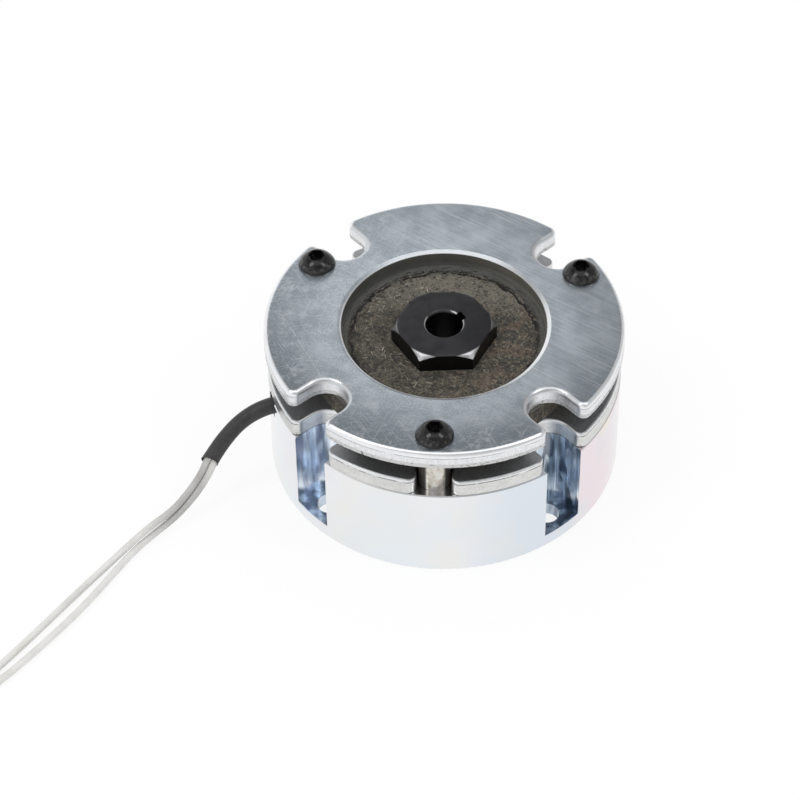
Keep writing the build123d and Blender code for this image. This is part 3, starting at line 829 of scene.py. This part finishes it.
# Rows a little beside an edge keep its shading crisp: below and past the bore's mouth, before the face's
# edge, and below the turned corners.
below_mouth = 0.0009
past_mouth = 1.02
before_edge = 0.0006
below_cut = 0.0003
oxide_dark = (0.042, 0.042, 0.045)
oxide_grey = (0.058, 0.058, 0.062)
oxide_shaded = (0.026, 0.027, 0.030)
oxide_speck = (0.080, 0.078, 0.078)
flank_painted_shade = (0.030, 0.030, 0.030)
mouth_grey = (0.055, 0.055, 0.057)
mouth_painted_highlight = (0.50, 0.50, 0.51)
corner_painted_highlight = (0.56, 0.56, 0.57)
black_oxide, spot = start_finish("satin_black_oxide")
x, y, z, out = split(spot)
hub_top = hub_high.z * 1000
face_reach = hub_face * 1000
turning = patches(spot, (0.9, 0.9, 0.9), detail=3)
bloom = patches(spot, (7, 7, 7), detail=2)
near_top = z.rise(hub_top - 0.8, hub_top - 0.4)
mouth = out.rise(6.0, 5.7) * near_top
# Painted highlight: bright arcs on the bore's edge, at its left and right only.
highlight_arc = abs(out - highlight_arc_circle).rise(0.22, 0.10) * near_top * abs(x + 0.4 * y).rise(3.2, 4.6)
cone = abs(z + (out - face_reach) * corner_cone_slope - hub_top).rise(0.20, 0.10)
cone = cone * out.rise(face_reach - 0.05, face_reach + 0.25)
colour = bloom.rise(0.3, 0.7).mixed(oxide_dark, oxide_grey)
# Painted shade: the right-hand side of the hub is darker.
colour = (x.rise(2, 12) * 0.5).mixed(colour, oxide_shaded)
colour = turning.rise(0.64, 0.80).mixed(colour, oxide_speck)
# Painted shade: everything more than 0.3 mm below the top face, the flats and corners, is darker.
colour = z.rise(hub_top - 0.05, hub_top - 0.30).mixed(colour, flank_painted_shade)
colour = mouth.mixed(colour, mouth_grey)
colour = (highlight_arc * 0.8).mixed(colour, mouth_painted_highlight)
# Painted highlight on the turned corners' cone, strongest on the front corners; a little of it is the thinner
# oxide there.
colour = (cone * (0.10 + 0.50 * y.rise(-5, -11) + 0.4 * bloom)).mixed(colour, corner_painted_highlight)
end_finish(spot, colour, 0.32 + 0.12 * bloom, turning, 0.008, Metallic=1.0)


def keyed_hub(name):
    """Rows round the axis, a point to a degree. Outside, a row's radius is a circle's or the hexagon's, which
    is the half width across flats over the cosine of the angle from the nearest flat's middle; its edge is
    a bevel below the end face, and a corner's lower by the corner's slope times how far it is outside the
    face's circle. Inside, a row is a circle with the key's groove let in: points within 17 degrees of the
    key lie along the groove's floor, and the next ones at its mouth."""
    off_key = np.arange(-180, 180)
    angle = np.radians(off_key)
    from_flat = np.radians((off_key + 30) % 60 - 30)
    hexagon = hub_flat / np.cos(from_flat)
    cut = hub_bevel + corner_slope * np.clip(hexagon - hub_face, 0, None)
    face = np.minimum(hexagon - hub_bevel, hub_face)

    def row(reach, across, height):
        x = reach * math.cos(key_angle) - across * math.sin(key_angle)
        y = reach * math.sin(key_angle) + across * math.cos(key_angle)
        return np.stack([x, y, height + 0 * x], -1)

    def outside(radius, height):
        return row(radius * np.cos(angle), radius * np.sin(angle), height)

    def inside(radius, height, spread=1.0):
        collar_side_shade = math.asin(key_half / radius)
        turn = np.where(np.abs(off_key) < groove_turn + 1.5, np.sign(off_key) * collar_side_shade, angle)
        in_groove = np.abs(off_key) < groove_turn + 0.5
        along_floor = key_half * np.clip(off_key / groove_turn, -1, 1)
        reach = np.where(in_groove, key_floor, radius * np.cos(turn))
        across = np.where(in_groove, along_floor, radius * np.sin(turn))
        return row(spread * reach, spread * across, height)

    rows = []
    for end, sign in ((hub_low.z, 1), (hub_high.z, -1)):
        half = [
            inside(hub_bore, end + sign * below_mouth),
            inside(hub_bore, end + sign * (hub_mouth - hub_bore)),
            inside(hub_mouth, end),
            inside(hub_mouth, end, past_mouth),
            outside(face - before_edge, end),
            outside(face, end),
            outside((face + hexagon) / 2, end + sign * cut / 2),
            outside(hexagon, end + sign * cut),
            outside(hexagon, end + sign * (cut + below_cut)),
        ]
        rows += half[::sign]
    return skin(name, [np.array(rows)], along=True)


hub = keyed_hub("hexagon_hub")
hub.data.materials.append(black_oxide)
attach(hub, "hub")
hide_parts("hex_hub")

# Side plate: a blanked steel disc, ground on its face, that the rotor is pressed against.
# Grinding left fine lines across it, handling left scratches, and tumbling rolled its outer edges over.
face_height = 46.995
opening_edge = 28.55
wall_top = 45.6
plate_dark = (0.385, 0.430, 0.478)
plate_pale = (0.60, 0.655, 0.71)
plate_shade = (0.22, 0.25, 0.28)
plate_haze = (0.66, 0.70, 0.74)
line_bright = (0.74, 0.77, 0.80)
fleck_bright = (0.80, 0.82, 0.84)
scratch_bright = (0.86, 0.88, 0.90)
line_width = 0.20
grinding_turn = -31
ground_plate, spot = start_finish("ground_steel_plate")
x, y, z, out = split(spot)
face = z.rise(face_height - 0.095, face_height)
inside = out.rise(opening_edge + 0.15, opening_edge)
wall = spot.math("MAXIMUM", z.rise(wall_top + 0.15, wall_top), inside)
rightwards = x * 0.86 + y * 0.5
to_right = rightwards.rise(-14, 22)
hair = patches(spot, (11, 0.14, 4), grinding_turn, detail=3)
lines = patches(spot, (50, 0.7, 8), grinding_turn + 1, detail=3)
cloud = patches(spot, (8, 8, 8), detail=5)
speckle = patches(spot, (0.5, 0.5, 0.5), detail=4)
tone = (0.08 + 0.30 * to_right) * hair + (0.10 + 0.06 * to_right) * lines + 0.42 * cloud
tone = tone + (0.40 - 0.36 * to_right) * speckle
colour = tone.rise(0.40, 0.60).mixed(plate_dark, plate_pale)
# Painted shade: the outer band of the face darkens towards the front and the left.
shade = 0.40 + 0.48 * y.rise(10, -40) + 0.25 * x.rise(-25, -48)
colour = (out.rise(31, 49) * shade).mixed(colour, plate_shade)
haze = patches(spot, (3.5, 3.5, 3.5), detail=5).rise(0.52, 0.70) * (0.45 - 0.30 * to_right)
colour = haze.mixed(colour, plate_haze)
fine = hairlines(spot, grinding_turn, 18, line_width, 0.64) * (0.2 + 0.6 * to_right)
for turn, length in ((-58, 10), (22, 5), (71, 7), (-8, 4)):
    crossing = hairlines(spot, turn, length, line_width, 0.66) * (0.8 - 0.6 * to_right)
    fine = spot.math("MAXIMUM", fine, crossing)
colour = (fine * 0.75).mixed(colour, line_bright)
colour = (flecks(spot, 0.8, 0.10, 0.20) * (0.8 - 0.5 * to_right)).mixed(colour, fleck_bright)


def scratch(spot, start, end, width):
    """Mask of one straight scratch between two points of the face, in millimetres, fading at its ends."""
    middle = ((start[0] + end[0]) / 2, (start[1] + end[1]) / 2, 0)
    turned = (0, 0, math.atan2(end[1] - start[1], end[0] - start[0]))
    halves = (math.hypot(end[0] - start[0], end[1] - start[1]) / 2, width / 2, 1)
    laid = spot.add("Mapping", {"vector_type": "TEXTURE"},
                    {"Vector": spot, "Location": middle, "Rotation": turned, "Scale": halves})
    lengthways, crossways = split(laid)[:2]
    return abs(lengthways).rise(1.0, 0.7) * abs(crossways).rise(1.0, 0.3)


# Each long scratch: its two ends, its width and how bright it is.
long_scratches = (
    ((-47.4, 4.7), (-31.5, -23.6), 0.24, 0.60),
    ((30.6, 6.2), (41.0, 0.0), 0.22, 0.65),
    ((38.5, 9.4), (48.6, 3.2), 0.18, 0.45),
    ((24.6, -15.6), (31.0, -19.6), 0.22, 0.55),
    ((-31.2, 20.8), (-26.4, 17.6), 0.26, 0.55),
    ((-24.0, -31.5), (-15.5, -41.5), 0.18, 0.45),
)
broken = patches(spot, (2, 2, 2)).rise(0.34, 0.56)
for start, end, width, depth in long_scratches:
    colour = (scratch(spot, start, end, width) * broken * depth).mixed(colour, scratch_bright)

torn_height = 43.2
rolled_height = 45.40
wall_dark = (0.70, 0.71, 0.73)
wall_pale = (0.88, 0.88, 0.89)
torn_pale = (0.66, 0.66, 0.66)
torn_dark = (0.12, 0.12, 0.12)
crease_shade_grey = (0.28, 0.28, 0.28)
rolled_dark = (0.80, 0.82, 0.84)
rolled_pale = (0.90, 0.91, 0.93)
notch_roll_painted_shade = (0.58, 0.60, 0.62)
back_chamfer_painted_shade = (0.46, 0.49, 0.52)
opening_wall_painted_dark = (0.31, 0.315, 0.31)
opening_wall_painted_olive = (0.52, 0.52, 0.49)
mottle = patches(spot, (0.9, 0.9, 0.5), detail=4)
drag = patches(spot, (0.5, 0.5, 6), detail=2)
torn = (z + 0.9 * (mottle - 0.5)).rise(torn_height + 0.3, torn_height)
rim = (0.6 * mottle + 0.4 * drag).rise(0.35, 0.65).mixed(wall_dark, wall_pale)
rim = torn.mixed(rim, torn_pale)
rim = (torn * mottle.rise(0.56, 0.64) * 0.9).mixed(rim, torn_dark)
# Painted shade: a grey line along the crease where the rolled edge meets the wall, broken up by noise.
crease_shade_line = abs(z + 0.3 * (mottle - 0.5) - rolled_height).rise(0.18, 0.06)
crease_shade_line = crease_shade_line * cloud.rise(0.40, 0.52) * out.rise(48.0, 49.0)
rim = (crease_shade_line * 0.7).mixed(rim, crease_shade_grey)
rolled = cloud.rise(0.3, 0.7).mixed(rolled_dark, rolled_pale)
# Painted shade: the rolled edge is greyer where it runs into the notches, dimming its reflection there.
in_notch = out.rise(48.3, 47.3) * out.rise(31, 33)
rolled = (in_notch * 0.8).mixed(rolled, notch_roll_painted_shade)
# Painted shade: the rolled edge round the opening is greyer and blotchy at the back.
by_opening = out.rise(31, 30)
rolled = (by_opening * y.rise(5, 20) * (0.35 + 0.5 * mottle)).mixed(rolled, back_chamfer_painted_shade)
outer_half = out.rise(28.85, 29.05) * by_opening * rightwards.rise(6, -8)
rolled = outer_half.mixed(rolled, colour)
# Painted reflection: the opening's wall is dark grey on the left and lighter olive on the right, standing in
# for its reflection of the rotor.
rim = inside.mixed(rim, x.rise(0, 20).mixed(opening_wall_painted_dark, opening_wall_painted_olive))
colour = face.mixed(wall.mixed(rolled, rim), colour)
rough = 0.30 + 0.08 * speckle + wall * (0.12 * mottle + 0.15 * torn) - 0.04 * (1 - face) * (1 - wall)
relief = face * (0.25 * hair + 0.25 * lines + 0.3 * speckle) + wall * (mottle + 0.3 * drag)
end_finish(spot, colour, rough, relief, 0.016, Metallic=1.0)
dress(ground_plate, "side_plate")

# Spacer collars: three turned steel tubes that the plate's screws pass through.
# They set the distance from the housing to the plate, and the armature slides along them.
side_shade_offset = 0.4
far_away = 99.0
collar_brown = (0.50, 0.46, 0.40)
collar_bright = (0.70, 0.68, 0.64)
collar_painted_shade = (0.06, 0.055, 0.05)
collar_steel, spot = start_finish("turned_collar_steel")
x, y = split(spot)[:2]
rings = patches(spot, (20, 20, 0.16), detail=2)
stain = patches(spot, (1.6, 1.6, 2.2), detail=4)
colour = stain.rise(0.36, 0.62).mixed(collar_brown, collar_bright)
# Painted shade: each collar is dark on the two flanks that face along the ring of collars, where the
# armature's notch walls shade it.
collar_side_shade = far_away
for turn in collar_turns:
    across = y * math.cos(math.radians(turn)) - x * math.sin(math.radians(turn))
    collar_side_shade = spot.math("MINIMUM", collar_side_shade, abs(across - side_shade_offset))
collar_side_shade = collar_side_shade.rise(2.1, 2.9)
colour = (collar_side_shade * 0.92).mixed(colour, collar_painted_shade)
end_finish(spot, colour, 0.20 + 0.12 * stain + 0.40 * collar_side_shade, rings + 0.4 * stain, 0.008, Metallic=1.0)
dress(collar_steel, "spacer_collar_1", "spacer_collar_2", "spacer_collar_3")

# Plate screws: M6 button-head screws with a hexagon socket, 30 mm long, in blackened steel.
# They clamp the side plate down on the collars; oil and dust sit in the finish. A grey band round the
# dome and a pale line at the seat are painted highlights.
screw_seat = 47.30
screw_crown = 48.7
screw_dark = (0.010, 0.010, 0.011)
screw_brown = (0.022, 0.021, 0.020)
crown_painted_highlight = (0.085, 0.084, 0.082)
seat_painted_highlight = (0.34, 0.34, 0.34)
speck_pale = (0.20, 0.19, 0.18)
screw_black, spot = start_finish("oiled_black_screw")
z = split(spot)[2]
grime = patches(spot, (1.1, 1.1, 1.1), detail=4)
specks = patches(spot, (0.3, 0.3, 0.3), detail=3)
seat = z.rise(screw_seat + 0.15, screw_seat)
colour = grime.rise(0.35, 0.68).mixed(screw_dark, screw_brown)
# Painted highlight: a grey band round the dome at mid height, broken up by the grime.
highlight_band = abs(z - screw_crown).rise(0.9, 0.3) * grime.rise(0.42, 0.62)
colour = (highlight_band * 0.8).mixed(colour, crown_painted_highlight)
# Painted highlight: a pale line round the foot of the head at its seat.
colour = (seat * (0.35 + 0.5 * grime)).mixed(colour, seat_painted_highlight)
colour = (specks.rise(0.60, 0.72) * (0.20 + 0.4 * seat)).mixed(colour, speck_pale)
end_finish(spot, colour, 0.22 + 0.14 * grime, specks + grime, 0.010, Metallic=1.0,
           Coat_Weight=0.6, Coat_Roughness=0.12)
dress(screw_black, "plate_screw_1", "plate_screw_2", "plate_screw_3")
